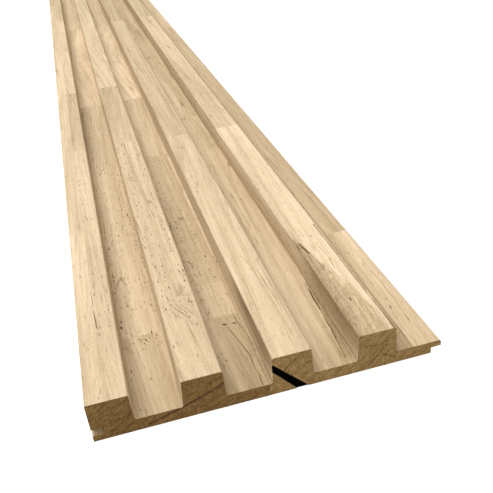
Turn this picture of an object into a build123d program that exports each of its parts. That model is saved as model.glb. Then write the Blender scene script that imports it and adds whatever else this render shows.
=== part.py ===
"""Fluted tongue-and-groove wall panel, moulded from a blank of finger-jointed, edge-glued wood blocks.

The panel lies on its back with the fluted face up. X runs across it from the grooved edge to the
tongue, Y runs along the grain away from the front end, and Z points out of the face. The origin is
the middle of the back.
"""

import os
from itertools import cycle

from build123d import *

# Moulded section, in millimetres
panel_length = 2400.0
panel_thickness = 19.0
rib_count = 4
rib_width = 16.7
flute_width = 20.6
flute_depth = 13.0
wall_lean = 0.6
flute_corner_radius = 1.0
arris_width = 0.4
shelf_width = 16.8

# Tongue on one edge, and the groove on the other edge that takes the next panel's tongue
tongue_length = 4.6
tongue_thickness = 3.0
tongue_bevel = 0.8
groove_side_clearance = 0.15
groove_end_clearance = 0.4

# Glued-up blank: a narrow strip at each edge, and wide staves that share the field between them
groove_strip_width = 8.0
tongue_strip_width = 8.2
field_stave_count = 2

# Finger joints between the blocks of a stave, with the fingers lying parallel to the face
finger_length = 10.0
finger_pitch = 4.75

# Each stave's first block, and the lengths that follow it and repeat to the far end
groove_edge_first_block = 298.0
groove_edge_next_blocks = (105.0, 162.0, 290.0)
field_first_blocks = (52.0, 253.0)
field_next_blocks = [(207.0, 143.0, 164.0, 176.0), (435.0, 310.0, 260.0)]
tongue_edge_first_block = 103.0
tongue_edge_next_blocks = (568.0, 330.0, 410.0)
shortest_block = 60.0

# Bark pocket in the front end, slanting from one rib's wall down under the rib and out through the back
pocket_rib = 3
pocket_top = 15.9
pocket_mouth = 4.2
pocket_back_reach = 9.6
pocket_back_width = 5.4
pocket_depth = 20.0
pocket_taper = 4.5
pocket_breakout = 0.1
pocket_run_out = 2.0

# Places that follow from the sizes above
rib_spacing = rib_width + flute_width
flute_count = rib_count - 1
cover_width = rib_count * rib_width + flute_count * flute_width + shelf_width
panel_width = cover_width + tongue_length
groove_edge = -panel_width / 2
tongue_root = groove_edge + cover_width
tongue_end = tongue_root + tongue_length
front_end = -panel_length / 2
far_end = panel_length / 2
floor_height = panel_thickness - flute_depth
tongue_foot = floor_height - tongue_thickness

# Both planes face the front end, with their own y upwards
far_plane = Plane.XZ.offset(-far_end)
front_plane = Plane.XZ.offset(-front_end)

# One flute, as the cutter leaves it
with BuildSketch() as flute:
    with BuildLine():
        Polyline(
            (wall_lean, 0),
            (flute_width - wall_lean, 0),
            (flute_width, flute_depth),
            (0, flute_depth),
            close=True,
        )
    make_face()
    fillet(flute.vertices().group_by(Axis.Y)[0], radius=flute_corner_radius)

# The wood taken off above the shelf, where the next panel's first rib closes the flute
with BuildSketch() as shelf_cut:
    with BuildLine():
        Polyline(
            (wall_lean, 0),
            (shelf_width, 0),
            (shelf_width, flute_depth),
            (0, flute_depth),
            close=True,
        )
    make_face()
    fillet(shelf_cut.vertices().group_by(Axis.Y)[0].sort_by(Axis.X)[0], radius=flute_corner_radius)

# Cross-section: ribs and flutes with eased arrises, the groove in one edge and the tongue on the other
flute_places = [(groove_edge + rib_width + i * rib_spacing, floor_height) for i in range(flute_count)]
shelf_place = (tongue_root - shelf_width, floor_height)
with BuildSketch(far_plane) as section:
    with Locations((groove_edge, 0)):
        Rectangle(cover_width, panel_thickness, align=(Align.MIN, Align.MIN))
    with Locations(*flute_places):
        add(flute.sketch, mode=Mode.SUBTRACT)
    with Locations(shelf_place):
        add(shelf_cut.sketch, mode=Mode.SUBTRACT)
    chamfer(section.vertices().group_by(Axis.Y)[-1], length=arris_width)
    with Locations((groove_edge, tongue_foot - groove_side_clearance)):
        Rectangle(
            tongue_length + groove_end_clearance,
            tongue_thickness + 2 * groove_side_clearance,
            align=(Align.MIN, Align.MIN),
            mode=Mode.SUBTRACT,
        )
    with BuildLine():
        Polyline(
            (tongue_root, tongue_foot),
            (tongue_end, tongue_foot),
            (tongue_end, floor_height - tongue_bevel),
            (tongue_end - tongue_bevel, floor_height),
            (tongue_root, floor_height),
            close=True,
        )
    make_face()

# The pocket's four corners at the front end, with its sides drawn on past the back
pocket_rib_side = groove_edge + (pocket_rib - 1) * rib_spacing


def pocket_side(height, back_reach):
    """One slanting side of the pocket: its end at the rib's wall and its end past the back."""
    wall = pocket_rib_side - wall_lean * (panel_thickness - height) / flute_depth
    back = pocket_rib_side + back_reach
    slant = (back - wall) / height
    return (wall - pocket_breakout, height), (back + slant * pocket_run_out, -pocket_run_out)


upper_side = pocket_side(pocket_top, pocket_back_reach + pocket_back_width)
lower_side = pocket_side(pocket_top - pocket_mouth, pocket_back_reach)

# The whole moulding, with the bark pocket that opens in its front end
with BuildPart() as moulding:
    extrude(section.sketch, amount=panel_length)
    with BuildSketch(front_plane):
        with BuildLine():
            Polyline(*upper_side, *reversed(lower_side), close=True)
        make_face()
    extrude(amount=-pocket_depth, taper=pocket_taper, mode=Mode.SUBTRACT)


def finger_line(joint):
    """Points up one finger joint, from the back of the panel to its face."""
    fingers = max(1, round(panel_thickness / finger_pitch))
    pitch = panel_thickness / fingers
    far = joint + finger_length / 2
    near = joint - finger_length / 2
    points = [(far, 0)]
    for finger in range(fingers):
        points += [(near, (finger + 0.5) * pitch), (far, (finger + 1) * pitch)]
    return points


def square_line(end):
    """Points up a square-cut end of the panel."""
    return [(end, 0), (end, panel_thickness)]


def block_lines(first_block, next_blocks):
    """The lines that bound the blocks of one stave, from the front end to the far end."""
    lines = [square_line(front_end)]
    joint = front_end + first_block
    for block_length in cycle(next_blocks):
        if joint > far_end - shortest_block:
            break
        lines.append(finger_line(joint))
        joint += block_length
    return lines + [square_line(far_end)]


# Staves from edge to edge: the name, the two glue lines or edges that bound it, and its blocks' lines
field_start = groove_edge + groove_strip_width
field_stop = tongue_root - tongue_strip_width
stave_width = (field_stop - field_start) / field_stave_count
groove_edge_lines = block_lines(groove_edge_first_block, groove_edge_next_blocks)
staves = [("groove_edge_stave", groove_edge, field_start, groove_edge_lines)]
field_blocks = cycle(zip(field_first_blocks, field_next_blocks))
for i in range(field_stave_count):
    left = field_start + i * stave_width
    field_lines = block_lines(*next(field_blocks))
    staves.append((f"field_stave_{i + 1}", left, left + stave_width, field_lines))
tongue_edge_lines = block_lines(tongue_edge_first_block, tongue_edge_next_blocks)
staves.append(("tongue_edge_stave", field_stop, tongue_end, tongue_edge_lines))

# Blocks of every stave, each cut out of the moulding along its glue lines and finger joints
os.makedirs("parts", exist_ok=True)
for stave_name, left, right, lines in staves:
    for number, (near_line, far_line) in enumerate(zip(lines, lines[1:]), start=1):
        with BuildPart() as block:
            add(moulding.part)
            with BuildSketch(Plane.YZ.offset(left)):
                with BuildLine():
                    Polyline(*near_line, *reversed(far_line), close=True)
                make_face()
            extrude(amount=right - left, mode=Mode.INTERSECT)
        block.part.label = f"{stave_name}_block_{number:02d}"
        export_step(block.part, f"parts/{block.part.label}.step")
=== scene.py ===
# %% [markdown]
# Fluted wall panel of finger-jointed wood
#
# The real board is glued up from short blocks of a pale hardwood. The blocks are finger-jointed end
# to end into staves, the staves are glued edge to edge, and a moulder then planes the ribs, flutes,
# tongue and groove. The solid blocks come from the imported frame, already at their real size and
# place. This lesson gives them their wood, sets the light and places the camera.

# %% Load the blocks
import math
import random

import bmesh
import bpy
from mathutils import Matrix, Vector, noise


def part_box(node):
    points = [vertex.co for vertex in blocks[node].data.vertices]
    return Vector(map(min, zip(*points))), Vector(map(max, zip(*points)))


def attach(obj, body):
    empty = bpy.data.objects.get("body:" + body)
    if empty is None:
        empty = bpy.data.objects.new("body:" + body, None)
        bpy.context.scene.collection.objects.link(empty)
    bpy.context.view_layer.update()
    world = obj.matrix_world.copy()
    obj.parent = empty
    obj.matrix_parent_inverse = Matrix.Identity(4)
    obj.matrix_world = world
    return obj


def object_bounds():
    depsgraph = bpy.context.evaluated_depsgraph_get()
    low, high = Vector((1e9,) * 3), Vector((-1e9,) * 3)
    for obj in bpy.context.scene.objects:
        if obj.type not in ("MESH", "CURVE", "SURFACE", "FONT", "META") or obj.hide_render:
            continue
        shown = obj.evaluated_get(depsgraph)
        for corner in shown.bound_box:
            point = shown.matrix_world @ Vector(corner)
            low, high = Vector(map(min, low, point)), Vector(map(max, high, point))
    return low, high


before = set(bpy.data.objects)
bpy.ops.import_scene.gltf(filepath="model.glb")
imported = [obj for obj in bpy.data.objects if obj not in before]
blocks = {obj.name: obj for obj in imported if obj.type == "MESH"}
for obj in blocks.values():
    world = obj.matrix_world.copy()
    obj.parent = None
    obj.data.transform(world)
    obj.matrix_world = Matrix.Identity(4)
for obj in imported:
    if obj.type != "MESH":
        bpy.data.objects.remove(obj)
cad_low, cad_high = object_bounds()
MM = 0.001
print(len(blocks), "blocks, panel box in metres:", list(cad_low), list(cad_high))

# %% [markdown]
# The camera
#
# The board is seen from above its front end, with the far end out of the picture. The camera could
# be placed by eye. Here it was worked out from the ribs' edges, which all run to one vanishing
# point, so it is given as a place, a direction and a small roll.

# %% Camera at the photograph's viewpoint
CAMERA_PLACE = Vector((-0.04898, -1.39316, 0.19266))
CAMERA_AZIMUTH = math.radians(12.504)
CAMERA_ELEVATION = math.radians(31.168)
CAMERA_ROLL = math.radians(-5.800)
CAMERA_LENS = 47.734
SENSOR_WIDTH = 36.0

look = Vector((
    math.sin(CAMERA_AZIMUTH) * math.cos(CAMERA_ELEVATION),
    math.cos(CAMERA_AZIMUTH) * math.cos(CAMERA_ELEVATION),
    -math.sin(CAMERA_ELEVATION),
))
camera = bpy.data.objects.new("camera", bpy.data.cameras.new("camera"))
camera.data.lens = CAMERA_LENS
camera.data.sensor_width = SENSOR_WIDTH
camera.data.clip_start = 0.01
turn = look.to_track_quat("-Z", "Y").to_matrix().to_4x4() @ Matrix.Rotation(CAMERA_ROLL, 4, "Z")
camera.matrix_world = Matrix.Translation(CAMERA_PLACE) @ turn
bpy.context.collection.objects.link(camera)
bpy.context.scene.camera = camera
print("camera right axis:", [round(v, 4) for v in camera.matrix_world.col[0][:3]])

# %% [markdown]
# The studio
#
# The board lies on a white sweep that is lit from within, like a light table, so that it stays pure
# white right up to the board. A small lamp would cut hard shadows into the flutes. Here a very wide
# soft sun stands high above, a little to the left and behind, so the sides of each flute and the
# front end fall into soft shade, and a pale warm sky fills the rest.

# %% Floor and light
FLOOR_SIZE = 14.0
FLOOR_DROP = 0.2 * MM
FLOOR_COLOUR = (0.4, 0.4, 0.4, 1)
FLOOR_ROUGHNESS = 0.9
GLOW_COLOUR = (1, 1, 1, 1)
FLOOR_GLOW = 0.85
SKY_STRENGTH = 0.58
SKY_COLOUR = (1.0, 0.95, 0.87, 1)
SUN_STRENGTH = 3.0
SUN_SPREAD = math.radians(46)
SUN_FROM = Vector((-0.26, 0.30, 1.0))


def shader_tree(material):
    """Empties a material's nodes and gives back the tree and a new Principled shader, wired up."""
    material.use_nodes = True
    tree = material.node_tree
    tree.nodes.clear()
    shader = tree.nodes.new("ShaderNodeBsdfPrincipled")
    output = tree.nodes.new("ShaderNodeOutputMaterial")
    tree.links.new(shader.outputs["BSDF"], output.inputs["Surface"])
    return tree, shader


bpy.ops.mesh.primitive_plane_add(size=FLOOR_SIZE, location=(0, 0, -FLOOR_DROP))
floor = bpy.context.object
floor.name = "studio_floor"
floor_finish = bpy.data.materials.new("white_sweep")
floor_shader = shader_tree(floor_finish)[1]
floor_shader.inputs["Base Color"].default_value = FLOOR_COLOUR
floor_shader.inputs["Roughness"].default_value = FLOOR_ROUGHNESS
floor_shader.inputs["Emission Color"].default_value = GLOW_COLOUR
floor_shader.inputs["Emission Strength"].default_value = FLOOR_GLOW
floor.data.materials.append(floor_finish)

world = bpy.data.worlds.new("pale_sky")
world.use_nodes = True
sky = world.node_tree.nodes["Background"]
sky.inputs["Color"].default_value = SKY_COLOUR
sky.inputs["Strength"].default_value = SKY_STRENGTH
bpy.context.scene.world = world

sun = bpy.data.objects.new("soft_sun", bpy.data.lights.new("soft_sun", "SUN"))
sun.data.energy = SUN_STRENGTH
sun.data.angle = SUN_SPREAD
sun.rotation_mode = "QUATERNION"
sun.rotation_quaternion = (-SUN_FROM).to_track_quat("-Z", "Y")
bpy.context.collection.objects.link(sun)
bpy.context.scene.view_settings.view_transform = "Standard"
print("floor and light are set")

# %% [markdown]
# Small words for shader nodes
#
# A wood finish needs many small sums: shears, distances, bands. Wiring each node by hand hides the
# idea, so these helpers let a sum be written almost as on paper. Each takes sockets or plain
# numbers and gives back the socket that holds the answer.

# %% Node helpers
STROKE_CORE = 0.35
SCALAR_ANSWERS = ("DOT_PRODUCT", "DISTANCE", "LENGTH")


class Wiring:
    """Adds nodes to one material and wires them."""

    def __init__(self, tree):
        self.tree = tree

    def feed(self, socket, value):
        if isinstance(value, bpy.types.NodeSocket):
            self.tree.links.new(value, socket)
        else:
            socket.default_value = value

    def sum(self, kind, a, b=0.0, c=0.0):
        node = self.tree.nodes.new("ShaderNodeMath")
        node.operation = kind
        for socket, value in zip(node.inputs, (a, b, c)):
            self.feed(socket, value)
        return node.outputs[0]

    def total(self, *values):
        """All the values added up."""
        answer = values[0]
        for value in values[1:]:
            answer = self.sum("ADD", answer, value)
        return answer

    def both(self, *values):
        """All the values multiplied, so that a mask holds only where each of them does."""
        answer = values[0]
        for value in values[1:]:
            answer = self.sum("MULTIPLY", answer, value)
        return answer

    def swing(self, value, depth):
        """A noise of 0 to 1, turned into a swing about zero."""
        return self.sum("MULTIPLY", self.sum("SUBTRACT", value, 0.5), depth)

    def band(self, value, low, high):
        """0 at low and 1 at high, with a soft step between them; low may be the larger one."""
        node = self.tree.nodes.new("ShaderNodeMapRange")
        node.interpolation_type = "SMOOTHSTEP"
        self.feed(node.inputs["Value"], value)
        self.feed(node.inputs["From Min"], low)
        self.feed(node.inputs["From Max"], high)
        return node.outputs[0]

    def vector(self, kind, a, b=(0, 0, 0), c=(0, 0, 0)):
        node = self.tree.nodes.new("ShaderNodeVectorMath")
        node.operation = kind
        for socket, value in zip(node.inputs, (a, b, c)):
            self.feed(socket, value)
        return node.outputs["Value" if kind in SCALAR_ANSWERS else "Vector"]

    def scaled(self, vector, amount):
        node = self.tree.nodes.new("ShaderNodeVectorMath")
        node.operation = "SCALE"
        self.feed(node.inputs[0], vector)
        self.feed(node.inputs["Scale"], amount)
        return node.outputs[0]

    def own(self, name):
        """The three numbers that the block's object carries under this name."""
        node = self.tree.nodes.new("ShaderNodeAttribute")
        node.attribute_type = "OBJECT"
        node.attribute_name = name
        return self.split(node.outputs["Vector"])

    def split(self, vector):
        node = self.tree.nodes.new("ShaderNodeSeparateXYZ")
        self.feed(node.inputs[0], vector)
        return node.outputs[0], node.outputs[1], node.outputs[2]

    def join(self, x, y, z=0.0):
        node = self.tree.nodes.new("ShaderNodeCombineXYZ")
        for socket, value in zip(node.inputs, (x, y, z)):
            self.feed(socket, value)
        return node.outputs[0]

    def noise(self, vector, grain_size, detail=2.0, roughness=0.5):
        """Smooth noise of 0 to 1, whose lumps have about this size in millimetres."""
        node = self.tree.nodes.new("ShaderNodeTexNoise")
        self.feed(node.inputs["Vector"], self.vector("DIVIDE", vector, grain_size))
        node.inputs["Scale"].default_value = 1.0
        node.inputs["Detail"].default_value = detail
        node.inputs["Roughness"].default_value = roughness
        return node.outputs["Fac"]

    def cells(self, vector, cell_size):
        """For scattered points, one to a cell: the distance to the nearest, and its own three dice."""
        node = self.tree.nodes.new("ShaderNodeTexVoronoi")
        self.feed(node.inputs["Vector"], self.vector("DIVIDE", vector, cell_size))
        node.inputs["Scale"].default_value = 1.0
        return node.outputs["Distance"], self.split(node.outputs["Color"])

    def stroke(self, point, ends, width):
        """1 on a drawn line through these points and 0 beside it."""
        nearest = None
        for start, stop in zip(ends, ends[1:]):
            run = Vector((stop[0] - start[0], stop[1] - start[1], 0))
            offset = self.vector("SUBTRACT", point, (start[0], start[1], 0))
            share = self.vector("DOT_PRODUCT", offset, run / run.length_squared)
            share = self.sum("MINIMUM", self.sum("MAXIMUM", share, 0.0), 1.0)
            gap = self.vector("DISTANCE", offset, self.scaled(run, share))
            nearest = gap if nearest is None else self.sum("MINIMUM", nearest, gap)
        return self.band(nearest, width, width * STROKE_CORE)


print("helpers are ready")

# %% [markdown]
# Where the grain runs
#
# A board cut from a log shows the same growth rings on every face: stripes along the ribs and arcs
# on the end. A flat picture can't do that, so the wood is worked out in three dimensions, in
# millimetres from the groove edge, from the front end and from the back. Each block leans a little
# off the log's length. Taking that lean and a slow wobble out of the place leaves a grain space,
# where every fibre runs straight along Y.

# %% Panel place and grain place
WOBBLE_SIZE = (40, 220, 40)
WOBBLE_DEPTH = 5.0


def panel_place(wire):
    """The place on the panel in millimetres, from its lowest corner."""
    texture = wire.tree.nodes.new("ShaderNodeTexCoord")
    return wire.vector("MULTIPLY_ADD", texture.outputs["Object"], (1 / MM,) * 3, -cad_low / MM)


def grain_place(wire, across, along, up):
    """The place with the block's lean and wobble taken out."""
    lean_across, lean_up, seed = wire.own("lean")
    seeded = wire.sum("ADD", along, seed)
    slow = wire.noise(wire.join(across, seeded, up), WOBBLE_SIZE, 1.0)
    wobble = wire.swing(slow, WOBBLE_DEPTH)
    grain_across = wire.total(across, wire.both(along, lean_across, -1.0), wobble)
    grain_up = wire.total(up, wire.both(along, lean_up, -1.0), wobble)
    return wire.join(grain_across, seeded, grain_up)


print("grain space is ready")

# %% [markdown]
# Rings, streaks and fibres
#
# Darkness is counted in levels, as on a grey card, and every mark adds its own. Rings are the
# distance from the block's heart line, slowly darkening and then stopping short. Streaks and fibres
# are noise drawn out along the grain, and a fine mottle and faint cutter ripples lie over them, as
# a moulder leaves them.

# %% Figure of the wood
BAND_SIZE, BAND_DEPTH = (6.0, 300.0, 6.0), 40.0
STREAK_SIZE, STREAK_DEPTH = (1.7, 80.0, 1.7), 42.0
FIBRE_SIZE, FIBRE_DEPTH = (0.5, 12.0, 0.5), 42.0
CLOUD_SIZE, CLOUD_DEPTH = (28.0, 110.0, 28.0), 26.0
MOTTLE_SIZE, MOTTLE_DEPTH = (0.6, 1.0, 0.6), 40.0
LINE_SIZES = [(7.0, 240.0, 7.0), (2.6, 120.0, 2.6)]
LINE_WIDTHS = [0.010, 0.022]
LINE_PATCH_SIZE, LINE_PATCH = (9.0, 45.0, 9.0), (0.42, 0.62)
LINE_DEPTH = 32.0
RIPPLE_PITCH, RIPPLE_DEPTH = 2.1, 0.5
WARP_SIZE, RING_WARP = (7.0, 300.0, 7.0), 1.6
RING_DARKENS, RING_STOPS = (0.30, 0.88), (1.0, 0.9)
RING_DEPTH = 9.0


def ring_share(wire, grain):
    """How far through its growth ring the place is: 0 at the start and 1 at the end."""
    heart_across, heart_up, pitch = wire.own("heart")
    x, _, z = wire.split(grain)
    off_heart = wire.join(wire.sum("SUBTRACT", x, heart_across), wire.sum("SUBTRACT", z, heart_up))
    warp = wire.swing(wire.noise(grain, WARP_SIZE, 1.0), 2 * RING_WARP)
    radius = wire.sum("ADD", wire.vector("LENGTH", off_heart), warp)
    return wire.sum("FRACT", wire.sum("DIVIDE", radius, pitch))


def late_wood(wire, ring):
    """1 in the dark end of each growth ring."""
    return wire.both(wire.band(ring, *RING_DARKENS), wire.band(ring, *RING_STOPS))


def grain_lines(wire, grain):
    """1 on thin dark lines, where slow noise passes its middle value."""
    lines = []
    for size, width in zip(LINE_SIZES, LINE_WIDTHS):
        off_middle = wire.sum("ABSOLUTE", wire.swing(wire.noise(grain, size, 0.0), 1.0))
        lines.append(wire.band(off_middle, width, 0.0))
    return wire.total(*lines)


def figure(wire, place, grain, ring):
    """Levels of darkness from the rings, streaks, fibres and cutter marks."""
    across, along, _ = wire.split(place)
    patchy = wire.band(wire.noise(grain, LINE_PATCH_SIZE, 1.0), *LINE_PATCH)
    ripple_turn = wire.total(wire.sum("MULTIPLY", along, math.tau / RIPPLE_PITCH), across)
    return wire.total(
        wire.sum("MULTIPLY", late_wood(wire, ring), RING_DEPTH),
        wire.swing(wire.noise(grain, BAND_SIZE, 2.0), BAND_DEPTH),
        wire.swing(wire.noise(grain, STREAK_SIZE, 2.0, 0.6), STREAK_DEPTH),
        wire.swing(wire.noise(grain, FIBRE_SIZE, 3.0, 0.6), FIBRE_DEPTH),
        wire.swing(wire.noise(grain, CLOUD_SIZE, 2.0), CLOUD_DEPTH),
        wire.swing(wire.noise(place, MOTTLE_SIZE, 3.0, 0.6), MOTTLE_DEPTH),
        wire.both(grain_lines(wire, grain), patchy, LINE_DEPTH),
        wire.sum("MULTIPLY", wire.sum("SINE", ripple_turn), RIPPLE_DEPTH),
    )


print("figure is ready")

# %% [markdown]
# Vessel pits and dashes
#
# The planer opens the wood's wide vessels as small dark pits, strung in rows along the grain, and
# as thinner dashes. Drawing each by hand would take hundreds of strokes. Scattered cells, pulled
# long in grain space, give one pit each, and dice decide which of them show. The rows are lanes that
# wander along the grain, some at fixed places and some wherever a slow noise is high.

# %% Pits
PIT_CELL = (0.9, 4.2, 0.9)
CROWD_CELL = (0.9, 2.0, 0.9)
PIT_RADIUS = 0.21
DASH_CELL = (0.9, 10.0, 0.9)
DASH_RADIUS = 0.28
# Each opening's depth is at least the first share, and dice add up to the second
PIT_SHARES = (0.3, 0.7)
DASH_SHARES = (0.2, 0.8)
PIT_CORE = 0.4
DASH_CORE = 0.3
ROW_SIZE, ROW_PATCH = (3.0, 500.0, 3.0), (0.56, 0.62)
PIT_LANES = [18.4, 22.5, 26.2, 31.2, 34.5, 40.5, 44.0, 51.0, 57.5, 60.0, 68.5]
WANDER_SIZE, LANE_WANDER = (12.0, 40.0, 12.0), 3.0
LANE_SIDE = (0.9, 0.3)


def pits(wire, grain, cell, share):
    """Up to 1 inside the dark pits, given the cells' size and the share of them that have one."""
    gap, dice = wire.cells(grain, cell)
    chosen = wire.sum("LESS_THAN", dice[0], share)
    radius = wire.sum("MULTIPLY_ADD", dice[1], PIT_RADIUS, PIT_RADIUS)
    depth = wire.sum("MULTIPLY_ADD", dice[2], PIT_SHARES[1], PIT_SHARES[0])
    inside = wire.band(gap, radius, wire.sum("MULTIPLY", radius, PIT_CORE))
    return wire.both(inside, chosen, depth)


def dashes(wire, grain, share):
    """Up to 1 inside the thin dashes."""
    gap, dice = wire.cells(grain, DASH_CELL)
    chosen = wire.sum("LESS_THAN", dice[0], share)
    depth = wire.sum("MULTIPLY_ADD", dice[1], DASH_SHARES[1], DASH_SHARES[0])
    return wire.both(wire.band(gap, DASH_RADIUS, DASH_RADIUS * DASH_CORE), chosen, depth)


def pit_rows(wire, grain, across):
    """1 along the rows where a block's pits gather."""
    wander = wire.swing(wire.noise(grain, WANDER_SIZE, 1.0), LANE_WANDER)
    place = wire.sum("ADD", across, wander)
    rows = [wire.band(wire.noise(grain, ROW_SIZE, 0.0), *ROW_PATCH)]
    for lane in PIT_LANES:
        off_lane = wire.sum("ABSOLUTE", wire.sum("SUBTRACT", place, lane))
        rows.append(wire.band(off_lane, *LANE_SIDE))
    return wire.sum("MINIMUM", wire.total(*rows), 1.0)


print("pits are ready")

# %% [markdown]
# Marks that this board has
#
# Some marks belong to this one board: a crack in the middle flute, torn grain beside a joint, the dark
# tips of the wedges. Each is a short list of points, in millimetres across and along, drawn as
# strokes on the height where it lies: the rib tops or the flute floors. The front end has its own
# list, across and up. An entry holds the stroke's width, its darkness in levels and its points.

# %% Marks
MARK_TOPS = [
    (0.32, 80, [(8.1, 61.0), (8.4, 53.0), (8.5, 47.2), (9.9, 47.0)]),
    (0.28, 40, [(7.9, 78.0), (8.1, 66.0)]),
    (0.60, 70, [(13.6, 47.0), (14.3, 46.4)]),
    (0.34, 44, [(42.3, 51.0), (48.8, 39.0)]),
    (0.30, 38, [(44.5, 51.5), (48.2, 43.0)]),
    (0.30, 34, [(41.2, 48.5), (44.8, 40.6)]),
    (0.30, 34, [(46.6, 50.8), (50.4, 42.0)]),
    (0.26, 26, [(48.0, 38.0), (50.6, 31.0)]),
    (0.55, 66, [(127.5, 95.0), (127.7, 40.0), (127.8, 0.0)]),
    (1.00, 64, [(113.9, 78.5), (114.6, 72.5), (115.3, 68.5)]),
    (0.40, 56, [(115.3, 68.5), (116.5, 62.5), (116.9, 51.5)]),
    (0.30, 40, [(113.6, 93.0), (113.7, 85.0), (113.9, 77.5)]),
    (0.32, 34, [(121.6, 77.0), (122.6, 66.0), (123.0, 58.0)]),
    (0.50, 32, [(117.9, 57.0), (118.4, 48.0)]),
    (0.50, 36, [(122.7, 60.0), (122.0, 51.0)]),
    (0.30, 30, [(117.8, 92.0), (118.2, 84.0)]),
    (0.9, 12, [(82.1, 236.0), (79.0, 216.0), (76.4, 197.0)]),
    (0.45, 22, [(82.9, 80.5), (85.1, 69.6), (86.4, 40.0), (87.1, 12.0)]),
    (0.40, 18, [(89.4, 74.0), (89.9, 40.0), (89.6, 8.0)]),
]
MARK_FLOORS = [
    (0.36, 60, [(65.6, 43.0), (68.0, 31.0), (70.1, 20.0), (69.7, 13.0), (70.4, 7.0), (70.0, 0.5)]),
    (0.32, 44, [(70.4, 49.0), (72.2, 38.0), (72.9, 30.0), (73.0, 22.0)]),
    (0.70, 105, [(64.5, 45.4), (65.4, 44.9)]),
    (0.65, 105, [(69.0, 44.8), (69.7, 44.4)]),
    (0.45, 70, [(110.3, 57.0), (109.9, 48.0), (109.6, 40.0)]),
    (0.40, 44, [(109.6, 40.0), (109.0, 24.0), (107.6, 4.0)]),
    (0.40, 26, [(144.6, 60.0), (145.5, 50.0), (144.6, 32.0), (143.4, 15.0)]),
]
MARK_END = [
    (0.60, 40, [(54.4, 13.4), (46.0, 9.4), (37.4, 6.3), (22.5, 1.6)]),
    (0.45, 38, [(87.9, 18.8), (83.0, 14.9), (79.0, 11.2)]),
    (0.45, 40, [(124.3, 11.2), (120.0, 6.2), (116.3, 2.0)]),
    (0.50, 26, [(126.5, 14.5), (121.0, 12.0), (115.0, 12.6)]),
    (0.50, 26, [(122.5, 6.8), (126.0, 4.6), (129.0, 2.4)]),
    (0.45, 24, [(9.0, 3.2), (15.0, 8.5), (16.5, 11.0)]),
    (0.45, 20, [(11.0, 0.8), (17.0, 5.2)]),
]
MARK_WANDER_SIZE, MARK_WANDER = (3.0, 8.0, 3.0), 0.7
PRESSURE_SIZE, PRESSURE = (2.5, 14.0, 2.5), (0.25, 0.5)


def drawn(wire, point, marks):
    """Levels of darkness from a list of strokes, which wander a little and come and go."""
    wander = wire.swing(wire.noise(point, MARK_WANDER_SIZE, 2.0), MARK_WANDER)
    pressure = wire.band(wire.noise(point, PRESSURE_SIZE, 2.0, 0.6), *PRESSURE)
    wandering = wire.vector("ADD", point, wire.join(wander, 0.0))
    strokes = []
    for width, depth, ends in marks:
        strokes.append(wire.sum("MULTIPLY", wire.stroke(wandering, ends, width), depth))
    return wire.both(wire.total(*strokes), pressure)


def side_of(wire, point, start, stop, soft):
    """1 on the left of a line that runs from start to stop, and 0 on its right."""
    run = Vector((stop[0] - start[0], stop[1] - start[1], 0)).normalized()
    left = (-run.y, run.x, 0)
    offset = wire.vector("SUBTRACT", point, (start[0], start[1], 0))
    return wire.band(wire.vector("DOT_PRODUCT", offset, left), -soft, soft)


print(len(MARK_TOPS) + len(MARK_FLOORS) + len(MARK_END), "strokes listed")

# %% [markdown]
# Places on the board
#
# Some shades belong to one place only, such as the pale patch past a joint. Each place is a box with
# soft sides. A side is a pair of millimetre values: where the mask is still 0, and where it is fully
# 1. Masks could be painted on the mesh instead, but then they would hang on its facets.

# %% Soft boxes
TOPS = [(17.8, 18.4)]
FLOORS = [(5.0, 5.6), (7.6, 6.6)]
ZONES = {
    "tops": {"up": TOPS},
    "floors": {"up": FLOORS},
    "front": {"along": [(1.0, 0.5)]},
    "flute_crowd": {"up": FLOORS, "along": [(40.0, 45.0), (52.0, 49.0)], "across": [(36.5, 35.5)]},
    "rib_crowd": {
        "up": TOPS,
        "along": [(46.0, 50.0), (58.0, 55.0)],
        "across": [(38.0, 39.0), (54.0, 52.0)],
    },
    "rib_heart": {"up": TOPS, "across": [(110.0, 111.0)]},
    "floor_heart": {
        "up": FLOORS,
        "across": [(104.0, 106.0), (113.0, 112.0)],
        "along": [(-12.0, 24.0)],
    },
    # Painted shade on the shelf beside the last rib's foot
    "shelf_foot_shade": {
        "up": FLOORS,
        "across": [(128.0, 129.0), (138.0, 136.0)],
        "along": [(2.0, 24.0), (84.0, 50.0)],
    },
    # Painted shade high on the ribs' left walls near the front
    "left_wall_front_shade": {"across": [(60.0, 62.0)], "up": [(8.0, 15.0)], "along": [(80.0, 45.0)]},
    # Painted light on the ribs' left walls further back
    "left_wall_rear_light": {"across": [(2.0, 10.0)], "along": [(20.0, 60.0)]},
    # Painted shade in the second flute's right corner
    "flute_corner_shade": {
        "across": [(72.4, 72.6), (74.6, 74.2)],
        "up": [(8.0, 7.0)],
        "along": [(150.0, 60.0)],
    },
    "flute_patch": {
        "up": FLOORS,
        "across": [(60.5, 61.5), (73.0, 72.0)],
        "along": [(50.0, 53.0), (81.0, 80.2)],
    },
    "rib_patch": {"up": TOPS, "across": [(9.0, 7.0)], "along": [(30.0, 80.0), (150.0, 130.0)]},
    # Painted light along the tongue's edge
    "tongue_edge": {"across": [(144.5, 147.0)]},
    # Painted shade inside the groove
    "groove": {"up": [(2.7, 2.9), (6.3, 6.1)], "across": [(5.4, 5.2)], "along": [(1.5, 7.0)]},
    # Painted shade on the flute floors near the front end, short of the shelf
    "flute_front_shade": {"up": [(7.6, 6.6)], "along": [(36.0, 0.0)], "across": [(130.0, 127.0)]},
}


def zone(wire, spot, name):
    """1 inside a soft box and 0 outside it; the spot holds the place across, along and up."""
    bands = [wire.band(spot[axis], *side) for axis, sides in ZONES[name].items() for side in sides]
    return wire.both(*bands)


print(len(ZONES), "places listed")

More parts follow.
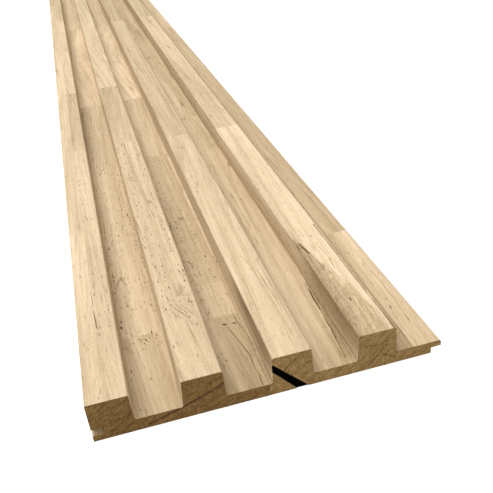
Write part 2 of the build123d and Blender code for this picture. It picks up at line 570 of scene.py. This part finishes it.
# %% [markdown]
# Where the pits show
#
# A block says how many of its pits lie in rows and how many lie loose. On this board small pits also
# crowd along the first joint, in the first flute and on the second rib. Dashes follow the pits, and
# some lie everywhere.

# %% Openings in the wood
FLUTE_CROWD = 0.7
RIB_CROWD = 0.35
CROWD_WEIGHT = 1.5
DASHES_WITH_PITS = 0.4
DASHES_ELSEWHERE = 0.30


def openings(wire, spot, grain):
    """The dark pits and the thin dashes, as two masks."""
    row_share, loose_share = wire.own("pits")[1:]
    share = wire.total(wire.both(pit_rows(wire, grain, spot["across"]), row_share), loose_share)
    crowd_share = wire.total(
        wire.both(zone(wire, spot, "flute_crowd"), FLUTE_CROWD),
        wire.both(zone(wire, spot, "rib_crowd"), RIB_CROWD),
    )
    crowd = wire.both(pits(wire, grain, CROWD_CELL, crowd_share), CROWD_WEIGHT)
    pit = wire.sum("MAXIMUM", pits(wire, grain, PIT_CELL, share), crowd)
    dash = dashes(wire, grain, wire.sum("MULTIPLY_ADD", share, DASHES_WITH_PITS, DASHES_ELSEWHERE))
    return pit, dash


print("openings are ready")

# %% [markdown]
# Heartwood, and painted shade on the shelf
#
# A dark wedge widens on the last rib towards the front, and a second one on the floor beside it. They
# are read as heartwood. A wedge is one side of a straight line. Noise drawn out along the grain
# pushes the line about, which leaves a ragged edge, and streaks and speckles fill it. The shelf beside
# the last rib's foot is darkened too, from just behind the front end to about 84 mm back, with
# speckles: that is painted shade.

# %% Dark wedges
SPECKLE_SIZE = (0.5, 2.2, 0.5)
RAGGED_SIZE = (1.4, 22.0, 1.4)
RAGGED_DEPTH = 10.0
HEART_STREAK_SIZE = (0.7, 14.0, 0.7)
HEART_STREAK_DEPTH = 60.0
RIB_LINE = [(111.6, 86.0), (130.0, 0.0)]
RIB_SOFTNESS = -2.6
RIB_LEFT_SIDE = (119.0, 112.0)
RIB_LEFT_DEPTH = 16.0
FLOOR_LINE = [(110.3, 57.0), (106.6, 2.0)]
FLOOR_SOFTNESS = 0.6
# Speckle and depth, in levels
RIB_HEART = (100.0, 31.0)
FLOOR_HEART = (90.0, 42.0)
# Painted shade on the shelf by the last rib's foot
SHELF_SHADE_LEVELS = (30.0, 13.0)


def heartwood(wire, spot, flat, grain):
    """Levels of darkness of the heartwood on the last rib and beside it, and painted shade on the
    shelf.
    """
    speckle = wire.swing(wire.noise(grain, SPECKLE_SIZE, 3.0, 0.7), 1.0)
    ragged = wire.swing(wire.noise(grain, RAGGED_SIZE, 3.0, 0.7), RAGGED_DEPTH)
    ragged_flat = wire.vector("ADD", flat, wire.join(ragged, 0.0))
    rib_dark = wire.total(
        wire.swing(wire.noise(grain, HEART_STREAK_SIZE, 2.0, 0.6), HEART_STREAK_DEPTH),
        wire.sum("MULTIPLY_ADD", speckle, *RIB_HEART),
        wire.both(wire.band(spot["across"], *RIB_LEFT_SIDE), RIB_LEFT_DEPTH),
    )
    rib_side = side_of(wire, ragged_flat, *RIB_LINE, RIB_SOFTNESS)
    floor_side = side_of(wire, ragged_flat, *FLOOR_LINE, FLOOR_SOFTNESS)
    floor_dark = wire.sum("MULTIPLY_ADD", speckle, *FLOOR_HEART)
    shelf_painted_shade = wire.sum("MULTIPLY_ADD", speckle, *SHELF_SHADE_LEVELS)
    return wire.total(
        wire.both(zone(wire, spot, "rib_heart"), rib_side, rib_dark),
        wire.both(zone(wire, spot, "floor_heart"), floor_side, floor_dark),
        # Painted shade on the shelf by the last rib's foot
        wire.both(zone(wire, spot, "shelf_foot_shade"), shelf_painted_shade),
    )


print("heartwood is ready")

# %% [markdown]
# Shades of the faces, with painted light and shade
#
# A block has one shade on its tops and one on its floors, and either may change across the block. The
# floors' shades are partly the block's tone and partly painted shade. The walls and plain places after
# it were set by comparing tones with the photographed board. Most are painted light and shade:
# painted shade high on the ribs' left walls near the front, inside the groove, on the flute floors
# near the front end and in the second flute's right corner; painted light on the left walls further
# back and along the tongue's edge. Two pale patches are the wood's own colour. Lamps could be moved
# instead, but that changes every other face too.

# %% Block shades, painted light and shade on walls and places
FLOOR_TOP = 7.5
RIB_FOOT = 16.0
FURTHEST_LEFT = -12.0
LEFT_FACING = (-0.6, -0.9)
# Painted shade, in levels, high on the ribs' left walls near the front
FRONT_WALL_PAINTED_SHADE = 46.0
# Painted light on the left walls further back, stronger on walls less than 50 mm across
REAR_WALL_PAINTED_LIGHT = -6.0
LIGHTER_WALLS_ACROSS = (60.0, 50.0)
LIGHTER_WALLS_EXTRA = 1.6
ZONE_SHADES = {
    # Painted shade in the second flute's right corner, which also evens out the block's tilt there
    "flute_corner_shade": 20.0,
    "flute_patch": -9.0,
    "rib_patch": -13.0,
    # Painted light: paler along the tongue's edge
    "tongue_edge": -10.0,
    # Painted shade inside the groove
    "groove": 60.0,
    # Painted shade on the flute floors near the front end
    "flute_front_shade": 13.0,
}


def block_shade(wire, spot):
    """The block's own levels of darkness; on the floors they are partly painted shade."""
    top, floor, floor_tilt = wire.own("shade")
    top_tilt = wire.own("sides")[2]
    off_middle = wire.sum("SUBTRACT", spot["across"], wire.own("pits")[0])
    off_middle = wire.sum("MAXIMUM", off_middle, FURTHEST_LEFT)
    top = wire.total(top, wire.both(off_middle, top_tilt))
    floor = wire.total(floor, wire.both(off_middle, floor_tilt))
    height = wire.band(spot["up"], FLOOR_TOP, RIB_FOOT)
    return wire.sum("MULTIPLY_ADD", height, wire.sum("SUBTRACT", top, floor), floor)


def painted_light_and_patches(wire, spot, facing_across):
    """Levels of darkness on the walls and plain places: painted light and shade, and two pale patches.
    """
    left_wall = wire.band(facing_across, *LEFT_FACING)
    extra_light = wire.sum("MULTIPLY_ADD", wire.band(spot["across"], *LIGHTER_WALLS_ACROSS), LIGHTER_WALLS_EXTRA, 1.0)
    return wire.total(
        # Painted shade high on the left walls near the front
        wire.both(left_wall, zone(wire, spot, "left_wall_front_shade"), FRONT_WALL_PAINTED_SHADE),
        # Painted light on the left walls further back
        wire.both(left_wall, zone(wire, spot, "left_wall_rear_light"), extra_light, REAR_WALL_PAINTED_LIGHT),
        *[wire.both(zone(wire, spot, name), depth) for name, depth in ZONE_SHADES.items()],
    )


print(len(ZONE_SHADES), "plain places shaded")

# %% [markdown]
# Glue lines
#
# Glue is squeezed out to a film, so it shows only as a thin line beside each neighbour. Along the
# stave the line is straight. At a finger joint it zigzags with the height, as the fingers do. Each
# block carries the places of its own sides and joints.

# %% Lines beside the neighbours
GLUE_WIDTH = 0.16
GLUE_DEPTH = 14.0
FINGER_PITCH = 4.75
FINGER_LENGTH = 10.0


def glue_lines(wire, spot):
    """Levels of darkness on the thin glue lines beside the block's neighbours."""
    left, right = wire.own("sides")[:2]
    joints = wire.own("joints")[:2]
    through_finger = wire.sum("FRACT", wire.sum("DIVIDE", spot["up"], FINGER_PITCH))
    zigzag = wire.sum("ABSOLUTE", wire.swing(through_finger, 2.0))
    finger = wire.sum("MULTIPLY", zigzag, FINGER_LENGTH)
    gaps = [wire.sum("SUBTRACT", spot["across"], left), wire.sum("SUBTRACT", right, spot["across"])]
    gaps += [wire.sum("SUBTRACT", spot["along"], wire.sum("ADD", start, finger)) for start in joints]
    lines = [wire.band(wire.sum("ABSOLUTE", gap), GLUE_WIDTH, 0.0) for gap in gaps]
    return wire.sum("MULTIPLY", wire.total(*lines), GLUE_DEPTH)


print("glue lines are ready")

# %% [markdown]
# Sawn ends
#
# The front and far ends are sawn across the fibres, which drink light, so they are much darker than
# the faces and a little warmer. They show their rings, the slanting scratches of the saw, specks and
# soft clouds. Only the front end has drawn marks.

# %% End grain
END_DEPTH = 62.0
END_RING_DEPTH = 8.0
END_GLUE = 1.6
ACROSS_SAW = (-0.64, 0.0, 0.77)
ALONG_SAW = (0.77, 0.0, 0.64)
SAW_SIZE = (1.0, 5.0, 1.0)
SAW_DEPTH = 80.0
SPECK_SIZE = (1.1, 1.1, 1.1)
SPECK_DEPTH = 105.0
END_CLOUD_SIZE = (4.0, 4.0, 3.0)
END_CLOUD_DEPTH = 30.0


def end_levels(wire, place, spot, ring):
    """Levels of darkness on the sawn ends."""
    across_saw = wire.vector("DOT_PRODUCT", place, ACROSS_SAW)
    along_saw = wire.vector("DOT_PRODUCT", place, ALONG_SAW)
    scratches = wire.noise(wire.join(across_saw, along_saw), SAW_SIZE, 3.0, 0.7)
    marks = drawn(wire, wire.join(spot["across"], spot["up"]), MARK_END)
    return wire.total(
        END_DEPTH,
        wire.own("joints")[2],
        wire.sum("MULTIPLY", late_wood(wire, ring), END_RING_DEPTH),
        wire.swing(scratches, SAW_DEPTH),
        wire.swing(wire.noise(place, SPECK_SIZE, 3.0, 0.7), SPECK_DEPTH),
        wire.swing(wire.noise(place, END_CLOUD_SIZE, 2.0), END_CLOUD_DEPTH),
        wire.both(zone(wire, spot, "front"), marks),
        wire.sum("MULTIPLY", glue_lines(wire, spot), END_GLUE),
    )


print("end grain is ready")

# %% [markdown]
# Putting the wood together
#
# All the levels are added up and taken off one cream colour, which keeps every shade of the board in
# the same family of browns. The sum is made on screen values and turned into light by a gamma at
# the end, because that is how the eye counts steps of grey. Planed wood is nearly matt, and a small
# bump lets its pits and fibres catch the light.

# %% One wood for every block
CREAM = (197.5, 176.5, 145.5)
DARKEST = (6.0, 4.0, 2.0)
WHITE_LEVEL = 255.0
SCREEN_GAMMA = 2.2
PIT_DEPTH = 120.0
DASH_DEPTH = 50.0
END_WARMTH = (0.0, 6.0, 18.0)
END_FACING = (0.6, 0.9)
ROUGHNESS_LOW = 0.55
ROUGHNESS_SPREAD = 0.2
WOOD_SPECULAR = 0.2
BUMP_STRENGTH = 0.5
BUMP_HEIGHT = 0.10 * MM
FIBRE_BUMP = 0.6


def face_levels(wire, place, spot, grain, ring, pit, dash, facing_across):
    """Levels of darkness on the long faces."""
    flat = wire.join(spot["across"], spot["along"])
    return wire.total(
        block_shade(wire, spot),
        figure(wire, place, grain, ring),
        wire.sum("MULTIPLY", pit, PIT_DEPTH),
        wire.sum("MULTIPLY", dash, DASH_DEPTH),
        heartwood(wire, spot, flat, grain),
        painted_light_and_patches(wire, spot, facing_across),
        wire.both(zone(wire, spot, "tops"), drawn(wire, flat, MARK_TOPS)),
        wire.both(zone(wire, spot, "floors"), drawn(wire, flat, MARK_FLOORS)),
        glue_lines(wire, spot),
    )


def bare_wood(name):
    """The planed, unfinished wood of the blocks."""
    material = bpy.data.materials.new(name)
    tree, shader = shader_tree(material)
    wire = Wiring(tree)
    place = panel_place(wire)
    spot = dict(zip(("across", "along", "up"), wire.split(place)))
    grain = grain_place(wire, **spot)
    ring = ring_share(wire, grain)
    pit, dash = openings(wire, spot, grain)

    # Colour: the faces' levels, or the ends' where the surface faces along the board
    normal = tree.nodes.new("ShaderNodeNewGeometry").outputs["True Normal"]
    facing_across, facing_along = wire.split(normal)[:2]
    end = wire.band(wire.sum("ABSOLUTE", facing_along), *END_FACING)
    faces = face_levels(wire, place, spot, grain, ring, pit, dash, facing_across)
    ends = end_levels(wire, place, spot, ring)
    dark = wire.sum("MULTIPLY_ADD", end, wire.sum("SUBTRACT", ends, faces), faces)
    levels = wire.vector("SUBTRACT", CREAM, wire.join(dark, dark, dark))
    levels = wire.vector("SUBTRACT", levels, wire.scaled(END_WARMTH, end))
    levels = wire.vector("MAXIMUM", levels, DARKEST)
    gamma = tree.nodes.new("ShaderNodeGamma")
    wire.feed(gamma.inputs["Color"], wire.vector("DIVIDE", levels, (WHITE_LEVEL,) * 3))
    gamma.inputs["Gamma"].default_value = SCREEN_GAMMA
    wire.feed(shader.inputs["Base Color"], gamma.outputs["Color"])

    # Surface: rougher between the fibres, with sunken pits
    fibre = wire.noise(grain, FIBRE_SIZE, 3.0, 0.6)
    roughness = wire.sum("MULTIPLY_ADD", fibre, ROUGHNESS_SPREAD, ROUGHNESS_LOW)
    wire.feed(shader.inputs["Roughness"], roughness)
    shader.inputs["Specular IOR Level"].default_value = WOOD_SPECULAR
    bump = tree.nodes.new("ShaderNodeBump")
    bump.inputs["Strength"].default_value = BUMP_STRENGTH
    bump.inputs["Distance"].default_value = BUMP_HEIGHT
    relief = wire.sum("SUBTRACT", wire.sum("MULTIPLY", fibre, FIBRE_BUMP), pit)
    wire.feed(bump.inputs["Height"], relief)
    wire.feed(shader.inputs["Normal"], bump.outputs["Normal"])
    return material


wood = bare_wood("bare_hardwood")
print("wood nodes:", len(wood.node_tree.nodes))

# %% [markdown]
# Each block's own numbers
#
# Blocks from many trees lie side by side, so shade, ring pitch and lean change at every joint. Where
# the board is in view, the shades are chosen to match it, as levels darker than the cream: on the
# rib tops, on the flute floors, and how fast the floors darken across the block. The floors' shades
# are partly painted shade. Past the view they are drawn from a seeded dice, so that every run gives
# the same board, and their floors are a little darker than their tops as painted shade.

# %% Shades and grain of the blocks
# Each entry: shade on top, shade on the floors (partly painted shade), tilt, pits in rows, loose pits,
# lean
STAVES = {
    "groove_edge_stave": [
        (-5, 0, 0, 0.15, 0.01, 0.01),
        (-12, 0, 0, 0.10, 0.0, 0.02),
        (-10, 0, 0, 0.10, 0.0, -0.02),
        (-5, 0, 0, 0.10, 0.0, 0.0),
    ],
    "field_stave_1": [
        (1, 12, 0.32, 0.10, 0.01, -0.06),
        (0, 6, 0.36, 0.95, 0.14, -0.01),
        (9, 8, -0.10, 0.15, 0.01, 0.03),
        (-5, -3, -0.25, 0.15, 0.02, -0.10),
        (-4, -1, 0.05, 0.10, 0.0, 0.05),
        (4, 5, 0.05, 0.10, 0.0, -0.03),
    ],
    "field_stave_2": [
        (-7, 6, 0.75, 0.12, 0.01, 0.03),
        (3, 13, 0.60, 0.15, 0.01, -0.02),
        (14, 13, 0.60, 0.10, 0.0, 0.02),
    ],
    "tongue_edge_stave": [
        (0, 6, 0, 0.10, 0.01, 0.02),
        (0, 19, 0, 0.15, 0.01, -0.01),
        (0, 12, 0, 0.10, 0.0, 0.0),
    ],
}
# How fast the tops darken across a block, and how much darker the sawn ends are
TOP_TILTS = {"field_stave_2": -0.35}
END_SHADES = {"groove_edge_stave": 24, "field_stave_1": 25, "field_stave_2": 2, "tongue_edge_stave": 4}
# Heart lines of the blocks whose rings show on the front end, across and up
FRONT_HEARTS = {"field_stave_1": (-6.0, 137.0), "field_stave_2": (14.5, 100.0)}
NO_JOINT = -1000.0
END_MARGIN = 1.0
SPARE_SHADES = (-6, 0, 4, 8, 14)
# How much darker the spare blocks' floors are than their tops: painted shade
SPARE_FLOOR_PAINTED_SHADE = 4
SPARE_PITS = (0.2, 0.02)
SPARE_LEAN = 0.05
LEAN_UP = 0.02
LONGEST_SEED = 9000
HEART_ASIDE = 60
HEART_DISTANCE = (60, 130)
RING_PITCH = (3.5, 6.0)

dice = random.Random(11)
panel_length = (cad_high.y - cad_low.y) / MM
for name in sorted(blocks):
    block = blocks[name]
    stave, number = name.rsplit("_block_", 1)
    entries = STAVES[stave]
    step = int(number) - 1
    low, high = [(corner - cad_low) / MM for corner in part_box(name)]
    middle = (low + high) / 2
    spare_shade = dice.choice(SPARE_SHADES)
    spare_lean = dice.uniform(-SPARE_LEAN, SPARE_LEAN)
    spare = (spare_shade, spare_shade + SPARE_FLOOR_PAINTED_SHADE, 0, *SPARE_PITS, spare_lean)
    entry = entries[step] if step < len(entries) else spare
    top, floor_shade, tilt, row_share, loose_share, lean = entry
    lean_up = dice.uniform(-LEAN_UP, LEAN_UP)
    heart_across = middle.x + dice.uniform(-HEART_ASIDE, HEART_ASIDE) - middle.y * lean
    heart = (heart_across, dice.choice((-1, 1)) * dice.uniform(*HEART_DISTANCE))
    if step == 0:
        heart = FRONT_HEARTS.get(stave, heart)
    block["lean"] = (lean, lean_up, dice.uniform(0, LONGEST_SEED))
    block["heart"] = (*heart, dice.uniform(*RING_PITCH))
    block["shade"] = (float(top), float(floor_shade), float(tilt))
    block["pits"] = (middle.x, row_share, loose_share)
    block["sides"] = (low.x, high.x, TOP_TILTS.get(stave, 0.0))
    block["joints"] = (
        low.y if low.y > END_MARGIN else NO_JOINT,
        high.y - FINGER_LENGTH if high.y < panel_length - END_MARGIN else NO_JOINT,
        END_SHADES[stave],
    )
    block.data.materials.clear()
    block.data.materials.append(wood)
print("shades are set on", len(blocks), "blocks")

# %% [markdown]
# Painted shadow in the pocket
#
# A black band crosses the front end, where the inside of a pocket lies in deep shade. The pocket is a
# slanting hole in the block. A near-black wedge with a rough skin fills it as painted shadow: a grid
# swept along the pocket, a little inside its walls, and shaken by noise.

# %% Painted shadow wedge
POCKET_FRONT = [(74.45, 15.8), (89.4, 0.05), (84.3, 0.05), (74.25, 11.75)]
POCKET_MIDDLE = Vector((80.5, 7.0))
SHADOW_FILLER_START = 0.25
SHADOW_FILLER_END = 18.0
SHADOW_FILLER_NARROWING = 0.1106
SHADOW_FILLER_STEPS = 14
SIDE_STEPS = 10
SHADOW_FILLER_ROUGHNESS = 0.07
SHAKES_PER_MM = 0.9


def shadow_filler_ring(depth):
    """Points round the painted shadow filler at this depth, evenly along its four sides."""
    points = []
    for start, stop in zip(POCKET_FRONT, POCKET_FRONT[1:] + POCKET_FRONT[:1]):
        for step in range(SIDE_STEPS):
            corner = Vector(start).lerp(Vector(stop), step / SIDE_STEPS)
            inward = (POCKET_MIDDLE - corner).normalized() * depth * SHADOW_FILLER_NARROWING
            points.append(corner + inward)
    return points


mesh = bmesh.new()
rings = []
for step in range(SHADOW_FILLER_STEPS + 1):
    depth = SHADOW_FILLER_START + (SHADOW_FILLER_END - SHADOW_FILLER_START) * step / SHADOW_FILLER_STEPS
    ring = []
    for point in shadow_filler_ring(depth):
        shake = noise.noise(Vector((point.x, depth, point.y)) * SHAKES_PER_MM) * SHADOW_FILLER_ROUGHNESS
        spot = point + (POCKET_MIDDLE - point).normalized() * (SHADOW_FILLER_ROUGHNESS + shake)
        ring.append(mesh.verts.new(cad_low + Vector((spot.x, depth + shake, spot.y)) * MM))
    rings.append(ring)
for near_ring, far_ring in zip(rings, rings[1:]):
    for i in range(len(near_ring)):
        k = (i + 1) % len(near_ring)
        mesh.faces.new((near_ring[i], near_ring[k], far_ring[k], far_ring[i]))
mesh.faces.new(rings[0])
mesh.faces.new(list(reversed(rings[-1])))
bmesh.ops.triangulate(mesh, faces=[f for f in mesh.faces if len(f.verts) > 4])
bmesh.ops.recalc_face_normals(mesh, faces=mesh.faces)
shadow_filler_mesh = bpy.data.meshes.new("pocket_shadow_filler")
mesh.to_mesh(shadow_filler_mesh)
mesh.free()
shadow_filler = bpy.data.objects.new("pocket_shadow_filler", shadow_filler_mesh)
bpy.context.collection.objects.link(shadow_filler)

# Near-black and matt: painted shadow for the deep shade inside the pocket
shadow_filler_finish = bpy.data.materials.new("painted_pocket_shadow")
shadow_filler_tree, shadow_filler_shader = shader_tree(shadow_filler_finish)
shadow_filler_wire = Wiring(shadow_filler_tree)
shadow_filler_place = panel_place(shadow_filler_wire)
shadow_filler_lumps = shadow_filler_wire.noise(shadow_filler_place, (1.2, 4.0, 1.2), 3.0, 0.6)
shadow_filler_ramp = shadow_filler_tree.nodes.new("ShaderNodeValToRGB")
shadow_filler_ramp.color_ramp.elements[0].color = (0.0004, 0.0003, 0.0003, 1)
shadow_filler_ramp.color_ramp.elements[1].color = (0.004, 0.003, 0.002, 1)
shadow_filler_wire.feed(shadow_filler_ramp.inputs["Fac"], shadow_filler_lumps)
shadow_filler_wire.feed(shadow_filler_shader.inputs["Base Color"], shadow_filler_ramp.outputs["Color"])
shadow_filler_shader.inputs["Roughness"].default_value = 0.95
shadow_filler_shader.inputs["Specular IOR Level"].default_value = 0.0
shadow_filler_bump = shadow_filler_tree.nodes.new("ShaderNodeBump")
shadow_filler_bump.inputs["Distance"].default_value = 0.3 * MM
shadow_filler_wire.feed(shadow_filler_bump.inputs["Height"], shadow_filler_lumps)
shadow_filler_wire.feed(shadow_filler_shader.inputs["Normal"], shadow_filler_bump.outputs["Normal"])
shadow_filler.data.materials.append(shadow_filler_finish)
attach(shadow_filler, "root")
print("bark faces:", len(shadow_filler_mesh.polygons))

# %% [markdown]
# The board's size
#
# The looks may not change the board's size, so the box from the start is printed.

# %% Sizes
print("CAD box:", list(cad_low), list(cad_high))
